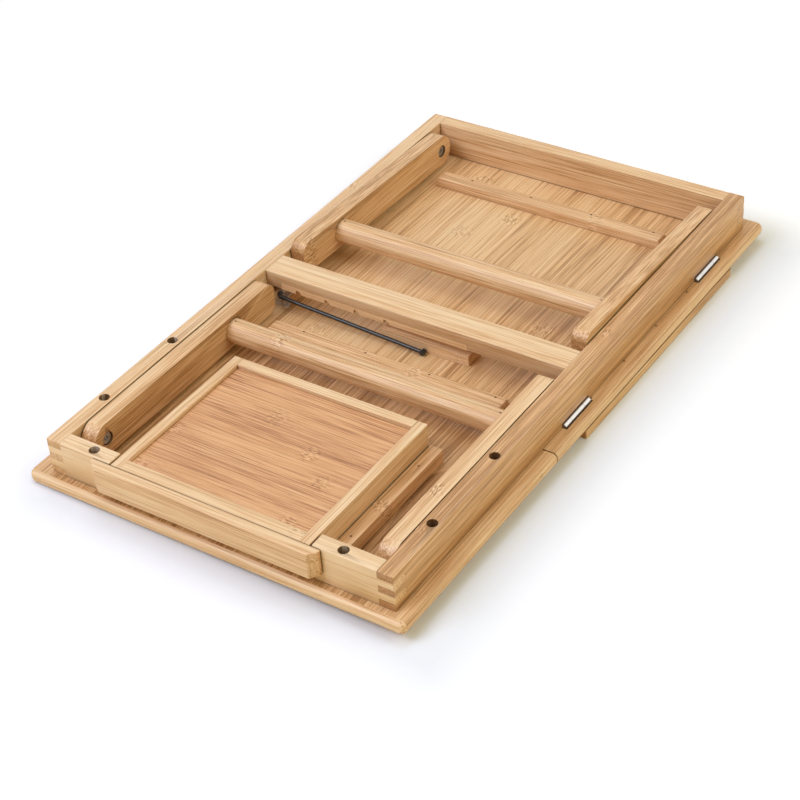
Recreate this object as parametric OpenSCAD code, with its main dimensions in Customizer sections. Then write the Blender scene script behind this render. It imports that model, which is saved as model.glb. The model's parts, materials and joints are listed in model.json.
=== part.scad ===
// Folding bamboo laptop table, stored face down: the underside faces up, both pairs of legs lie
// folded inside the frame, the drawer is shut and the tilting panel is closed.
// +Z is up, X runs along the table from the drawer end to the far end, and the hinges of the
// tilting panel are on the -Y side. The origin is under the middle, on the surface that it lies on.
// All sizes are in millimetres.

/* [Tabletop] */
// Length of the closed tabletop, drawer end to far end
top_len = 502; // [480:1:540]
// Width of the tabletop, hinge side to back
top_wid = 302; // [285:1:340]
// Thickness of the tabletop boards
top_thk = 9; // [8:0.5:12]
// Distance from the seam between the panels to the cross rail
seam_back = 53; // [49:1:58]
// Open seam between the fixed panel and the tilting panel
seam_gap = 1; // [0.5:0.1:1.5]
// Width of the solid lipping along each long edge, wide enough to carry the stop ledge
lip_wid = 19; // [17:0.5:20]
// Width of the band across each end
band_wid = 4; // [4:0.5:6]
// Rounding of the tabletop's long arrises
edge_r = 3.5; // [2:0.25:3.75]
// How far the tabletop stands past the frame at the drawer end
over_near = 9; // [8.5:0.5:12]
// How far it stands past the frame at the far end
over_far = 14; // [8:0.5:16]
// How far it stands past the frame on the hinge side
over_front = 11; // [10.5:0.5:16]
// How far it stands past the frame at the back
over_back = 15.5; // [8:0.5:18]

/* [Stop ledge] */
// Height of the ledge that keeps a book or laptop from sliding off the tilted panel
ledge_h = 7; // [5:0.5:12]
// Width of the ledge
ledge_wid = 16; // [14:0.5:18]
// Distance from the seam to the ledge
ledge_in = 41; // [20:1:50]
// Distance from the far end of the table to the ledge
ledge_far = 51; // [20:1:70]
// Set back of the ledge from the edge of the panel
ledge_back = 0.7; // [0.5:0.1:2]
// Rounding of the ledge's far end
ledge_r = 6; // [2:0.5:6.5]

/* [Frame] */
// Height of the frame's boards
rail_h = 28; // [28:0.5:34]
// Thickness of the frame's boards
rail_t = 12; // [11:0.5:14]
// Fingers at each corner of the frame
finger_n = 5; // [3:2:7]
// Width of the cross rail between the legs
cross_wid = 22; // [18:1:26]
// Thickness of the cross rail
cross_thk = 12.5; // [12:0.5:13.5]
// Place of the cross rail past the middle of the frame
cross_off = 0.5; // [-2:0.5:2]
// Height of the notched strip let into the cross rail
strip_h = 5; // [5:0.25:6]
// Width of the notched strip
strip_wid = 8; // [6:0.5:10]
// Number of notches
notch_n = 4; // [2:1:4]
// Distance from notch to notch
notch_pitch = 25.6; // [22:0.2:27]

/* [Legs] */
// Thickness of a leg
leg_thk = 12; // [10:0.5:13]
// Width of a leg
leg_wid = 25; // [22:0.5:26]
// Rounding of a foot's corners
foot_r = 8; // [4:0.5:9]
// Distance from an end board to the pivot screws
pivot_in = 19; // [17:0.5:26]
// Gap between the feet and the middle of the frame
foot_gap = 19.5; // [17:0.5:26]
// Diameter of the crossbars between the legs
dowel_d = 18; // [14:0.5:18]
// Distance of a crossbar from the feet
dowel_up = 49; // [40:1:60]
// Diameter of the pivot screws
pivot_d = 5; // [4:0.5:6]
// Angle by which the far pair stands proud of the frame, in degrees
far_lift_deg = 2.2; // [0:0.1:3]

/* [Drawer] */
// Gap between the drawer and the near crossbar
drawer_rear = 28; // [26:0.5:50]
// Gap between the back runner and the leg beside it
drawer_back = 20; // [16:0.5:30]
// Gap between the front runner and the leg beside it
drawer_front_gap = 25.5; // [16:0.5:36]
// Thickness of the drawer's sides and rear wall
wall_t = 7.5; // [7:0.5:9]
// Thickness of the drawer's near wall
near_wall_t = 9.5; // [8:0.5:11]
// Thickness of the drawer's bottom panel
bottom_t = 4; // [2.5:0.5:5]
// Depth of the bottom panel below the rim
bottom_in = 3; // [2:0.5:5]
// How far the front board stands past the box at the back
front_past_back = 15.5; // [10:0.5:18]
// How far it stands past the box on the hinge side
front_past_front = 8.5; // [8:0.5:18]
// Height of the runners
runner_h = 10.5; // [10:0.5:12]
// Width of the runners
runner_wid = 10; // [8:0.5:12]

/* [Stay] */
// Diameter of the stay wire
wire_d = 3; // [2.5:0.25:3.5]
// Length of the stay from its pivot to its tip
stay_len = 127; // [115:1:130]
// Distance from the panel's back edge to the stay's pivot
stay_in = 37.5; // [35:0.5:40]
// Height of the pad under the clip
pad_h = 8.4; // [7:0.1:9]

/* [Hinges] */
// Length of a hinge
hinge_len = 34; // [30:1:40]
// Width of a hinge leaf from the pin
leaf_wid = 9.5; // [9:0.5:10.5]
// Outer diameter of the knuckles
knuckle_d = 4.5; // [4:0.25:5]
// Diameter of the hinge pins
hinge_pin_d = 2; // [1.5:0.1:2.2]

/* [Hidden] */
$fn = 48;

bamboo = "#E3BF8F";
bamboo_rail = "#DDB482";
bamboo_dark = "#C99568";
steel = "#C4C4C0";
grey_steel = "#8C8F92";
black_wire = "#262626";

// Every cut runs past its face by this much
cut = 1;
// Clearance round a screw in the piece that it is driven into
screw_fit = 0.05;
// Clearance round a turning shaft
run_fit = 0.08;

// Frame, measured from its own middle, with zero height at the tabletop's underside
frame_len = top_len - over_near - over_far;
frame_wid = top_wid - over_front - over_back;
frame_x = (over_near - over_far) / 2;
frame_y = (over_front - over_back) / 2;
deck_z = ledge_h + top_thk;
end_in = frame_len / 2 - rail_t;
side_in = frame_wid / 2 - rail_t;
finger_h = rail_h / finger_n;

// Corners of the tabletop, in turn round from the hinge side of the drawer end
corner_rads = [4, 6, 5.5, 5.5];

// Screws that hold the fixed panel, in holes sunk in the frame's up-facing edges
fix_share_near = 0.779;
fix_share_far = 0.47;
fix_side_xs = [-frame_len / 2 * fix_share_near, -frame_len / 2 * fix_share_far];
fix_stub_back = 37;
fix_stub_front = 40;
fix_hole_d = 7.6;
fix_hole_deep = 20;
fix_screw_d = 3.4;
fix_head_d = 7;
fix_head_h = 2.4;
fix_bite = 5.5;
fix_slack = 0.3;

// Cross rail, its tenons and its notched strip
cross_x0 = cross_off - cross_wid / 2;
cross_x1 = cross_off + cross_wid / 2;
cross_z0 = rail_h - cross_thk;
seam_x = frame_x + cross_x0 - seam_back;
tenon_t = 5;
tenon_len = 6;
tenon_in = 4;
tenon_fit = 0.1;
strip_back_gap = 13;
strip_len = 160;
strip_proud = 0.5;
notch_back = 28;
notch_wid = 4.2;
notch_deep = 3;
notch_lead = 1.2;

// Legs
washer_t = 1;
washer_gap = 0.05;
washer_d = 10;
leg_in_y = side_in - washer_t - 2 * washer_gap - leg_thk;
leg_top_drop = 0.3;
leg_z = rail_h - leg_top_drop - leg_wid / 2;
pivot_x = end_in - pivot_in;
leg_len = pivot_x - foot_gap;
dowel_x = foot_gap + dowel_up;
dowel_deep = 8;
dowel_brad_in = 3;
pivot_head_d = 8.5;
pivot_head_h = 2.8;
pivot_sink_d = 10;
pivot_sink = 4;
pivot_bite = 9;
recess_len = 5;
recess_wid = 1.1;
recess_deep = 1.6;

// Drawer
front_gap = 0.4;
box_x0 = -frame_len / 2 - front_gap;
box_x1 = -dowel_x - dowel_d / 2 - drawer_rear;
front_t = over_near - front_gap;
drawer_lift = 2.5;
drawer_drop = 0.3;
drawer_top = rail_h - drawer_drop;
stub_gap = 1.4;
panel_z0 = drawer_top - bottom_in - bottom_t;
panel_groove = 3;
panel_fit = 0.1;
front_lift = 7.6;
front_flat = 2.5;
front_bevel_back = 8.5;
front_bevel_front = 5;
runner_gap = 0.8;
box_y0 = -leg_in_y + drawer_front_gap + runner_wid + runner_gap;
box_y1 = leg_in_y - drawer_back - runner_wid - runner_gap;
tongue_t = 4;
tongue_len = 3.5;
tongue_z = 5;
tongue_fit = 0.3;
runner_brad_in = 22;
drawer_screw_d = 3;
drawer_screw_in = 30;
drawer_screw_head = 5.6;
drawer_screw_bite = 5;
drawer_screw_sink = 2;

// Hinges of the tilting panel: the pin lies on the joint line, just outside the frame's face
hinge_out = 0.3;
hinge_y = -frame_wid / 2 - hinge_out;
hinge_a_in = 44.5;
hinge_b_in = 77.5;
hinge_xs = [seam_x - frame_x + hinge_a_in, top_len / 2 - frame_x - hinge_b_in];
knuckle_gap = 0.2;
knuckle_shares = [-0.5, -0.25, 0.25, 0.5];
leaf_t = 1;
leaf_gap = 0.1;
mortise_fit = 0.3;
knuckle_room = 1.1;
leaf_screw_x = 11;
leaf_screw_y = 6;
leaf_screw_d = 2;
leaf_screw_head = 4;
leaf_screw_len = 7;

// Ledge, battens, block and pad on the tilting panel
ledge_len = top_len / 2 - ledge_far - seam_x - ledge_in;
batten_wid = 11.5;
batten_h = 8;
batten_bevel = 4;
batten_back = 9;
batten_front = 14;
batten_near_in = 16;
batten_far_in = 59.5;
batten_xs = [seam_x + batten_near_in, top_len / 2 - batten_far_in - batten_wid];
batten_y0 = frame_y - leg_in_y + batten_front;
batten_y1 = frame_y + leg_in_y - batten_back;
brad_d = 1.6;
brad_bite = 3;
brad_sink = 0.5;
brad_x = 2.5;
brad_n = 4;
brad_back_in = 30;
brad_front_in = 12;
ledge_brad_n = 4;
ledge_brad_y = 9.3;
ledge_brad_near = 23;
ledge_brad_far = 59;
ledge_bite = 4;
block_wid = 18;
block_h = 8.5;
block_len = 73;
block_in = 127;
block_face = 1.4;

// Stay wire, its clip and its cap
wire_gap = 1.1;
wire_bend = 4;
cap_d = 3.8;
cap_in = 1.6;
cap_out = 2.2;
tip_z = 2.7;
pad_len = 15;
pad_wid = 18;
pad_face = 1.6;
clip_t = 1;
clip_fit = 0.08;
clip_wid = 15;
clip_len = 14;
clip_r = 3;
clip_toe = 4;
clip_screw_d = 2;
clip_screw_head = 3.2;
clip_screw_out = 4.8;
clip_screw_bite = 3;
stay_x = frame_x + cross_x0 - wire_gap - wire_d / 2;
stay_y = top_wid / 2 - stay_in;
stay_z = pad_h + wire_d / 2 + clip_fit;
stay_slope = asin((stay_z - tip_z) / stay_len);
pivot_end = wire_bend + pad_face + pad_wid - clip_r;

// Box between two corners
module box(x0, x1, y0, y1, z0, z1) {
    translate([x0, y0, z0]) cube([x1 - x0, y1 - y0, z1 - z0]);
}

// Round bars along each axis
module rod_x(x0, x1, y, z, r) {
    translate([x0, y, z]) rotate([0, 90, 0]) cylinder(h = x1 - x0, r = r);
}

module rod_y(x, y0, y1, z, r) {
    translate([x, y0, z]) rotate([-90, 0, 0]) cylinder(h = y1 - y0, r = r);
}

module rod_z(x, y, z0, z1, r) {
    translate([x, y, z0]) cylinder(h = z1 - z0, r = r);
}

// Places that are measured from the frame's middle, or from the middle of the tabletop
module in_frame() {
    translate([frame_x, frame_y, deck_z]) children();
}

module on_deck() {
    translate([0, 0, deck_z]) children();
}

// Countersunk screw, head up, its top at zero
module flat_screw(head, shank, length) {
    head_h = (head - shank) / 2;
    translate([0, 0, -head_h]) cylinder(h = head_h, d1 = shank, d2 = head);
    rod_z(0, 0, -length, -head_h / 2, shank / 2);
}

// Cross recess in the top of a screw head, sunk from zero
module cross_recess(length, width, deep) {
    for (a = [0, 90])
        rotate([0, 0, a])
            box(-length / 2, length / 2, -width / 2, width / 2, -deep, cut);
}

module round_bar(length, thick, r) {
    translate([-length / 2, r]) square([length, thick - 2 * r]);
    translate([-length / 2 + r, 0]) square([length - 2 * r, thick]);
    for (sx = [-1, 1])
        for (y = [r, thick - r])
            translate([sx * (length / 2 - r), y]) circle(r);
}

// Puts its children at one corner of the tabletop, turned so that the corner points to +X and +Y
module at_corner(i) {
    r = corner_rads[i];
    sx = i < 2 ? -1 : 1;
    sy = i == 0 || i == 3 ? -1 : 1;
    translate([sx * (top_len / 2 - r), sy * (top_wid / 2 - r), 0])
        mirror([sx < 0 ? 1 : 0, 0, 0])
            mirror([0, sy < 0 ? 1 : 0, 0])
                children();
}

// Quarter of a round plate, its arrises rounded like those of the straight edges
module corner_piece(r) {
    rotate_extrude(angle = 90)
        intersection() {
            round_bar(2 * r, top_thk, edge_r);
            square([r, top_thk]);
        }
}

// Tabletop: a plate with four round corners, its arrises rounded all the way round
module top_plate() {
    difference() {
        intersection() {
            rotate([90, 0, 0])
                linear_extrude(height = top_wid + 2 * cut, center = true)
                    round_bar(top_len, top_thk, edge_r);
            rotate([90, 0, 90])
                linear_extrude(height = top_len + 2 * cut, center = true)
                    round_bar(top_wid, top_thk, edge_r);
        }
        for (i = [0 : 3])
            at_corner(i) box(0, corner_rads[i] + cut, 0, corner_rads[i] + cut, -cut, top_thk + cut);
    }
    for (i = [0 : 3])
        at_corner(i) corner_piece(corner_rads[i]);
}

module top_board(x0, x1, y0, y1) {
    translate([0, 0, ledge_h])
        intersection() {
            top_plate();
            box(x0, x1, y0, y1, -cut, top_thk + cut);
        }
}

// Room for one hinge: a shallow bed for a leaf and a round groove for the knuckles
module hinge_bed() {
    for (x = hinge_xs)
        in_frame()
            translate([x, hinge_y, 0]) {
                box(-hinge_len / 2 - mortise_fit, hinge_len / 2 + mortise_fit,
                    -leaf_t, leaf_wid + mortise_fit,
                    -leaf_t - leaf_gap, leaf_t + leaf_gap);
                rod_x(-hinge_len / 2 - knuckle_room, hinge_len / 2 + knuckle_room,
                      0, 0, knuckle_d / 2 + knuckle_room);
            }
}

module hinge_screw_holes(up) {
    for (x = hinge_xs)
        in_frame()
            translate([x, hinge_y, 0])
                for (s = [-1, 1])
                    translate([s * leaf_screw_x, leaf_screw_y, 0])
                        if (up > 0)
                            rod_z(0, 0, -cut, leaf_screw_len + leaf_gap + cut,
                                  leaf_screw_d / 2 + screw_fit);
                        else
                            rod_z(0, 0, -leaf_screw_len - leaf_gap - cut, cut,
                                  leaf_screw_d / 2 + screw_fit);
}

// Places of the six screws that hold the fixed panel to the frame
module at_fix_points() {
    for (x = fix_side_xs)
        for (s = [-1, 1])
            translate([x, s * (frame_wid / 2 - rail_t / 2), 0]) children();
    for (y = [frame_wid / 2 - fix_stub_back, -frame_wid / 2 + fix_stub_front])
        translate([-frame_len / 2 + rail_t / 2, y, 0]) children();
}

module fix_hole() {
    rod_z(0, 0, rail_h - fix_hole_deep, rail_h + cut, fix_hole_d / 2);
    rod_z(0, 0, -cut, rail_h, fix_screw_d / 2 + fix_slack);
}

// Bores for the six screws in the fixed panel
module fix_bores() {
    in_frame() at_fix_points()
        rod_z(0, 0, -fix_bite - cut / 2, cut, fix_screw_d / 2 + screw_fit);
}

// Fixed panel
module fixed_core() {
    color(bamboo)
        difference() {
            top_board(-top_len / 2 + band_wid, seam_x,
                      -top_wid / 2 + lip_wid, top_wid / 2 - lip_wid);
            fix_bores();
            in_frame() at_runner_brads()
                rod_z(0, 0, -brad_bite - cut / 2, cut, brad_d / 2 + screw_fit);
        }
}

module fixed_end_band() {
    color(bamboo)
        top_board(-top_len / 2 - cut, -top_len / 2 + band_wid, -top_wid, top_wid);
}

module fixed_lip_front() {
    color(bamboo)
        difference() {
            top_board(-top_len / 2 + band_wid, seam_x, -top_wid, -top_wid / 2 + lip_wid);
            fix_bores();
        }
}

module fixed_lip_back() {
    color(bamboo)
        difference() {
            top_board(-top_len / 2 + band_wid, seam_x, top_wid / 2 - lip_wid, top_wid);
            fix_bores();
        }
}

module panel_screws() {
    color(grey_steel)
        in_frame() at_fix_points()
            difference() {
                union() {
                    rod_z(0, 0, rail_h - fix_hole_deep, rail_h - fix_hole_deep + fix_head_h,
                          fix_head_d / 2);
                    rod_z(0, 0, -fix_bite, rail_h - fix_hole_deep, fix_screw_d / 2);
                }
                translate([0, 0, rail_h - fix_hole_deep + fix_head_h])
                    cross_recess(recess_len, recess_wid, recess_deep);
            }
}

// Frame boards, finger jointed at the corners
module finger_cuts(first, x0, x1, y0, y1) {
    for (i = [first : 2 : finger_n - 1])
        box(x0, x1, y0, y1,
            i == 0 ? -cut : i * finger_h,
            i == finger_n - 1 ? rail_h + cut : (i + 1) * finger_h);
}

module long_rail() {
    difference() {
        box(-frame_len / 2, frame_len / 2, side_in, frame_wid / 2, 0, rail_h);
        finger_cuts(1, -frame_len / 2 - cut, -end_in, side_in - cut, frame_wid / 2 + cut);
        finger_cuts(1, end_in, frame_len / 2 + cut, side_in - cut, frame_wid / 2 + cut);
        for (s = [-1, 1])
            rod_y(s * pivot_x, side_in - cut, side_in + pivot_bite + cut, leg_z,
                  pivot_d / 2 + screw_fit);
        box(cross_x0 + tenon_in - tenon_fit, cross_x1 - tenon_in + tenon_fit,
            side_in - cut, side_in + tenon_len + tenon_fit,
            rail_h - cross_thk / 2 - tenon_t / 2 - tenon_fit,
            rail_h - cross_thk / 2 + tenon_t / 2 + tenon_fit);
        at_fix_points() fix_hole();
    }
}

module rail_back() {
    color(bamboo_rail) in_frame() long_rail();
}

module rail_front() {
    color(bamboo_rail)
        difference() {
            in_frame() mirror([0, 1, 0]) long_rail();
            hinge_bed();
            hinge_screw_holes(1);
        }
}

module end_rail() {
    difference() {
        box(-frame_len / 2, -end_in, -frame_wid / 2, frame_wid / 2, 0, rail_h);
        for (s = [0, 1])
            mirror([0, s, 0])
                finger_cuts(0, -frame_len / 2 - cut, -end_in + cut, side_in, frame_wid / 2 + cut);
    }
}

module rail_far() {
    color(bamboo_rail) in_frame() mirror([1, 0, 0]) end_rail();
}

module rail_stub_back() {
    color(bamboo_rail)
        in_frame()
            difference() {
                end_rail();
                box(-frame_len / 2 - cut, -end_in + cut, -frame_wid / 2 - cut, box_y1 + stub_gap,
                    -cut, rail_h + cut);
                at_fix_points() fix_hole();
            }
}

module rail_stub_front() {
    color(bamboo_rail)
        in_frame()
            difference() {
                end_rail();
                box(-frame_len / 2 - cut, -end_in + cut, box_y0 - stub_gap, frame_wid / 2 + cut,
                    -cut, rail_h + cut);
                at_fix_points() fix_hole();
            }
}

// Cross rail with a rebate along its lower near arris, and the notched strip that fills it
module cross_rail() {
    color(bamboo_rail)
        in_frame()
            difference() {
                union() {
                    box(cross_x0, cross_x1, -side_in, side_in, cross_z0, rail_h);
                    box(cross_x0 + tenon_in, cross_x1 - tenon_in,
                        -side_in - tenon_len, side_in + tenon_len,
                        rail_h - cross_thk / 2 - tenon_t / 2,
                        rail_h - cross_thk / 2 + tenon_t / 2);
                }
                box(cross_x0 - cut, cross_x0 + strip_wid,
                    side_in - strip_back_gap - strip_len, side_in - strip_back_gap,
                    cross_z0 - cut, cross_z0 + strip_h);
            }
}

module ratchet_strip() {
    color(bamboo)
        in_frame()
            difference() {
                box(cross_x0, cross_x0 + strip_wid,
                    side_in - strip_back_gap - strip_len, side_in - strip_back_gap,
                    cross_z0 - strip_proud, cross_z0 + strip_h);
                for (i = [0 : notch_n - 1])
                    translate([cross_x0 - cut, side_in - notch_back - i * notch_pitch,
                               cross_z0 - strip_proud])
                        rotate([90, 0, 90])
                            linear_extrude(height = strip_wid + 2 * cut)
                                polygon([[-notch_wid / 2 - notch_lead, -cut],
                                         [-notch_wid / 2, notch_lead],
                                         [-notch_wid / 2, notch_deep - notch_lead],
                                         [0, notch_deep],
                                         [notch_wid / 2, notch_deep],
                                         [notch_wid / 2, -cut]]);
            }
}

// Legs: each turns on its own pivot screw and is tied to its pair by a round crossbar
module leg_outline() {
    circle(d = leg_wid);
    translate([0, -leg_wid / 2]) square([leg_len - foot_r, leg_wid]);
    translate([0, -leg_wid / 2 + foot_r]) square([leg_len, leg_wid - 2 * foot_r]);
    for (s = [-1, 1])
        translate([leg_len - foot_r, s * (leg_wid / 2 - foot_r)]) circle(foot_r);
}

module leg() {
    in_frame()
        difference() {
            translate([-pivot_x, leg_in_y + leg_thk, leg_z])
                rotate([90, 0, 0])
                    linear_extrude(height = leg_thk) leg_outline();
            rod_y(-pivot_x, leg_in_y - cut, leg_in_y + leg_thk + cut, leg_z,
                  pivot_d / 2 + run_fit);
            rod_y(-pivot_x, leg_in_y - cut, leg_in_y + pivot_sink, leg_z, pivot_sink_d / 2);
            rod_y(-dowel_x, leg_in_y - cut, leg_in_y + dowel_deep, leg_z,
                  dowel_d / 2 + screw_fit);
        }
}

// Swaps the drawer end for the far end, or the back for the hinge side, about the frame's middle
module far_end() {
    translate([2 * frame_x, 0, 0]) mirror([1, 0, 0]) children();
}

// Turns the far pair up about its pivots by the few degrees that it stands proud
module lifted() {
    translate([frame_x + pivot_x, 0, deck_z + leg_z])
        rotate([0, far_lift_deg, 0])
            translate([-frame_x - pivot_x, 0, -deck_z - leg_z]) children();
}

module front_side() {
    translate([0, 2 * frame_y, 0]) mirror([0, 1, 0]) children();
}

module crossbar() {
    in_frame()
        difference() {
            rod_y(-dowel_x, -leg_in_y - dowel_deep, leg_in_y + dowel_deep, leg_z, dowel_d / 2);
            for (s = [-1, 1])
                translate([-dowel_x, s * (leg_in_y - dowel_brad_in), leg_z])
                    rod_z(0, 0, dowel_d / 2 - brad_bite - cut / 2, dowel_d / 2 + cut,
                          brad_d / 2 + screw_fit);
        }
}

module leg_near_back() {
    color(bamboo) leg();
}

module leg_near_front() {
    color(bamboo) front_side() leg();
}

module leg_far_back() {
    color(bamboo) lifted() far_end() leg();
}

module leg_far_front() {
    color(bamboo) lifted() far_end() front_side() leg();
}

module dowel_near() {
    color(bamboo) crossbar();
}

module dowel_near_brads() {
    color(grey_steel) dowel_brads();
}

module dowel_far_brads() {
    color(grey_steel) lifted() far_end() dowel_brads();
}

module dowel_far() {
    color(bamboo) lifted() far_end() crossbar();
}

// Brads driven into the crossbars beside the legs
module dowel_brads() {
    in_frame()
        for (s = [-1, 1])
            translate([-dowel_x, s * (leg_in_y - dowel_brad_in), leg_z])
                rod_z(0, 0, dowel_d / 2 - brad_bite, dowel_d / 2 - brad_sink, brad_d / 2);
}

module pivot_screw() {
    in_frame()
        translate([-pivot_x, leg_in_y + pivot_sink - washer_gap, leg_z])
            rotate([90, 0, 0])
                difference() {
                    union() {
                        rod_z(0, 0, 0, pivot_head_h, pivot_head_d / 2);
                        rod_z(0, 0, -pivot_bite - side_in + leg_in_y + pivot_sink - washer_gap,
                              0, pivot_d / 2);
                    }
                    translate([0, 0, pivot_head_h])
                        cross_recess(recess_len, recess_wid, recess_deep);
                }
}

module pivot_washer() {
    in_frame()
        difference() {
            rod_y(-pivot_x, side_in - washer_gap - washer_t, side_in - washer_gap, leg_z,
                  washer_d / 2);
            rod_y(-pivot_x, side_in - cut - washer_t - washer_gap, side_in + cut, leg_z,
                  pivot_d / 2 + run_fit);
        }
}

module pivot_screws() {
    color(grey_steel) {
        pivot_screw();
        front_side() pivot_screw();
        far_end() pivot_screw();
        far_end() front_side() pivot_screw();
    }
}

module pivot_washers() {
    color(steel) {
        pivot_washer();
        front_side() pivot_washer();
        far_end() pivot_washer();
        far_end() front_side() pivot_washer();
    }
}

// Drawer: a shallow box that hangs on two runners, open towards the tabletop
module side_wall(y0, y1) {
    box(box_x0, box_x1, y0, y1, drawer_lift, drawer_top);
}

module panel_slot() {
    box(box_x0 + near_wall_t - panel_groove, box_x1 - wall_t + panel_groove,
        box_y0 + wall_t - panel_groove, box_y1 - wall_t + panel_groove,
        panel_z0, panel_z0 + bottom_t);
}

module tongue_slot() {
    box(-end_in - tongue_fit, box_x1 + cut,
        box_y1 - tongue_len + runner_gap - tongue_fit, box_y1 + cut,
        tongue_z - tongue_fit, tongue_z + tongue_t + tongue_fit);
}

module mirror_box() {
    translate([0, box_y0 + box_y1, 0]) mirror([0, 1, 0]) children();
}

module drawer_side_back() {
    color(bamboo)
        in_frame()
            difference() {
                side_wall(box_y1 - wall_t, box_y1);
                panel_slot();
                tongue_slot();
            }
}

module drawer_side_front() {
    color(bamboo)
        in_frame()
            difference() {
                side_wall(box_y0, box_y0 + wall_t);
                panel_slot();
                mirror_box() tongue_slot();
            }
}

module drawer_near_wall() {
    color(bamboo)
        in_frame()
            difference() {
                box(box_x0, box_x0 + near_wall_t, box_y0 + wall_t, box_y1 - wall_t,
                    drawer_lift, drawer_top);
                panel_slot();
                at_drawer_screws() rod_z(0, 0, -near_wall_t - cut, cut,
                                         drawer_screw_d / 2 + screw_fit);
                at_drawer_screws() rod_z(0, 0, -drawer_screw_sink, cut,
                                         drawer_screw_head / 2 + screw_fit);
            }
}

module drawer_rear_wall() {
    color(bamboo)
        in_frame()
            difference() {
                box(box_x1 - wall_t, box_x1, box_y0 + wall_t, box_y1 - wall_t,
                    drawer_lift, drawer_top);
                panel_slot();
            }
}

module drawer_bottom() {
    color(bamboo_dark)
        in_frame()
            box(box_x0 + near_wall_t - panel_groove + panel_fit,
                box_x1 - wall_t + panel_groove - panel_fit,
                box_y0 + wall_t - panel_groove + panel_fit,
                box_y1 - wall_t + panel_groove - panel_fit,
                panel_z0, panel_z0 + bottom_t);
}

// Front board, its ends bevelled towards the face
module drawer_front() {
    y0 = box_y0 - front_past_front;
    y1 = box_y1 + front_past_back;
    color(bamboo)
        in_frame()
            difference() {
                translate([0, 0, front_lift])
                    linear_extrude(height = drawer_top - front_lift)
                        polygon([[box_x0, y0],
                                 [box_x0, y1],
                                 [box_x0 - front_flat, y1],
                                 [box_x0 - front_t, y1 - front_bevel_back],
                                 [box_x0 - front_t, y0 + front_bevel_front],
                                 [box_x0 - front_flat, y0]]);
                at_drawer_screws()
                    rod_z(0, 0, -near_wall_t - drawer_screw_bite - cut / 2, cut,
                          drawer_screw_d / 2 + screw_fit);
            }
}

// Two screws through the near wall into the front board, heads inside the drawer
module at_drawer_screws() {
    for (y = [box_y0 + drawer_screw_in, box_y1 - drawer_screw_in])
        translate([box_x0 + near_wall_t, y, panel_z0 / 2]) rotate([0, 90, 0]) children();
}

module drawer_screws() {
    color(steel)
        in_frame() at_drawer_screws()
            difference() {
                union() {
                    rod_z(0, 0, -drawer_screw_sink, 0, drawer_screw_head / 2);
                    rod_z(0, 0, -near_wall_t - drawer_screw_bite, -drawer_screw_sink,
                          drawer_screw_d / 2);
                }
                cross_recess(recess_len - recess_wid, recess_wid, recess_deep);
            }
}

// Runners on the fixed panel, each with a tongue in the groove of a drawer side, nailed down
module runner() {
    y0 = box_y1 + runner_gap;
    difference() {
        union() {
            box(-end_in, box_x1, y0, y0 + runner_wid, 0, runner_h);
            box(-end_in, box_x1, box_y1 - tongue_len + runner_gap, y0 + cut,
                tongue_z, tongue_z + tongue_t);
        }
        at_runner_brads() rod_z(0, 0, -cut, runner_h + cut, brad_d / 2 + screw_fit);
    }
}

module at_runner_brads() {
    for (x = [-end_in + runner_brad_in, box_x1 - runner_brad_in])
        for (y = [box_y0 - runner_gap - runner_wid / 2, box_y1 + runner_gap + runner_wid / 2])
            translate([x, y, 0]) children();
}

module runner_back() {
    color(bamboo) in_frame() runner();
}

module runner_front() {
    color(bamboo) in_frame() mirror_box() runner();
}

module runner_brads() {
    color(grey_steel)
        in_frame() at_runner_brads() rod_z(0, 0, -brad_bite, runner_h - brad_sink, brad_d / 2);
}

// Tilting panel
module tilt_core() {
    color(bamboo)
        difference() {
            top_board(seam_x + seam_gap, top_len / 2 - band_wid,
                      -top_wid / 2 + lip_wid, top_wid / 2 - lip_wid);
            hinge_bed();
            hinge_screw_holes(-1);
            on_deck() at_brads() rod_z(0, 0, -brad_bite - cut / 2, cut, brad_d / 2 + screw_fit);
            on_deck() at_clip_screws()
                rod_z(0, 0, -clip_screw_bite - cut / 2, cut, clip_screw_d / 2 + screw_fit);
        }
}

module tilt_end_band() {
    color(bamboo)
        top_board(top_len / 2 - band_wid, top_len / 2 + cut, -top_wid, top_wid);
}

module tilt_lip_front() {
    color(bamboo)
        difference() {
            top_board(seam_x + seam_gap, top_len / 2 - band_wid,
                      -top_wid, -top_wid / 2 + lip_wid);
            hinge_bed();
            hinge_screw_holes(-1);
            at_ledge_brads() rod_z(0, 0, -cut, top_thk + cut, brad_d / 2 + screw_fit);
        }
}

module tilt_lip_back() {
    color(bamboo)
        top_board(seam_x + seam_gap, top_len / 2 - band_wid, top_wid / 2 - lip_wid, top_wid);
}

// Ledge on the show face, along the hinge side: its near end is square and its far end round
module stop_ledge() {
    x0 = seam_x + ledge_in;
    y0 = -top_wid / 2 + ledge_back;
    color(bamboo)
        difference() {
            linear_extrude(height = ledge_h) {
                translate([x0, y0]) square([ledge_len - ledge_r, ledge_wid]);
                translate([x0, y0 + ledge_r]) square([ledge_len, ledge_wid - 2 * ledge_r]);
                for (y = [y0 + ledge_r, y0 + ledge_wid - ledge_r])
                    translate([x0 + ledge_len - ledge_r, y]) circle(ledge_r);
            }
            at_ledge_brads()
                rod_z(0, 0, -ledge_bite - cut / 2, cut, brad_d / 2 + screw_fit);
        }
}

// Places of the brads through the tilting panel into the ledge, at the panel's show face
module at_ledge_brads() {
    step = (ledge_len - ledge_brad_near - ledge_brad_far) / (ledge_brad_n - 1);
    for (i = [0 : ledge_brad_n - 1])
        translate([seam_x + ledge_in + ledge_brad_near + i * step,
                   -top_wid / 2 + ledge_back + ledge_brad_y, ledge_h])
            children();
}

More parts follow.
